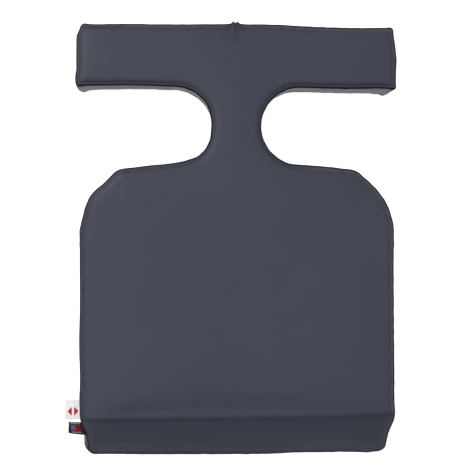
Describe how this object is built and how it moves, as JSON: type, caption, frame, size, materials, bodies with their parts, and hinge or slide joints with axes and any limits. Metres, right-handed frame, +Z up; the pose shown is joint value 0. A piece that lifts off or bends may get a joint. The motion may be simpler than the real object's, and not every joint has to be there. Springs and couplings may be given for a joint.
{
  "type": "foam back protector pad",
  "caption": "T-headed foam back pad in a sewn vinyl cover, with side cut-outs, a bevelled rear end, a zip in one flank and sewn-in labels.",
  "frame": {"origin": "on the underside, at the middle of the pad's length and width", "axes": "+Z up out of the working face, +Y towards the head bar, +X towards the side without the zip"},
  "size_m": [0.4756, 0.635, 0.0655],
  "materials": {
    "cover_vinyl": "satin",
    "base_foam": "matte",
    "comfort_foam": "matte",
    "zip_tape": "matte",
    "zip_coil": "satin",
    "zip_metal": "satin",
    "thread": "satin",
    "white_label": "satin",
    "woven_label": "satin"
  },
  "bodies": {
    "pad": {"base_foam": "base_foam", "comfort_foam": "comfort_foam", "top_panel": "cover_vinyl", "bottom_panel": "cover_vinyl", "boxing_right": "cover_vinyl", "boxing_left_front": "cover_vinyl", "boxing_left_rear": "cover_vinyl", "zip_boxing_upper": "cover_vinyl", "zip_boxing_lower": "cover_vinyl", "zip_tape_upper": "zip_tape", "zip_tape_lower": "zip_tape", "zip_coil_upper": "zip_coil", "zip_coil_lower": "zip_coil", "zip_top_stops": "zip_metal", "zip_bottom_stop": "zip_metal", "topstitch_upper": "thread", "topstitch_lower": "thread"},
    "slider": {"zip_slider": "zip_metal"},
    "pull": {"zip_pull": "zip_metal"},
    "upper_label": {"maker_label": "white_label"},
    "lower_label": {"origin_label": "woven_label"}
  },
  "joints": [
    {"name": "zip_slide", "type": "slide", "parent": "pad", "child": "slider", "axis": [0, -1, 0], "range_m": [0, 0.229]},
    {"name": "pull_flip", "type": "hinge", "parent": "slider", "child": "pull", "pos_m": [-0.2281, 0.0001, 0.03275], "axis": [0, 0, -1], "range_deg": [0, 165]},
    {"name": "maker_label_flap", "type": "hinge", "parent": "pad", "child": "upper_label", "pos_m": [-0.2249, -0.231, 0.0639], "axis": [0, 1, 0], "range_deg": [-60, 70]},
    {"name": "origin_label_flap", "type": "hinge", "parent": "pad", "child": "lower_label", "pos_m": [-0.2249, -0.263, 0.04748], "axis": [0, 0.7975, 0.6033], "range_deg": [-15, 60]}
  ]
}
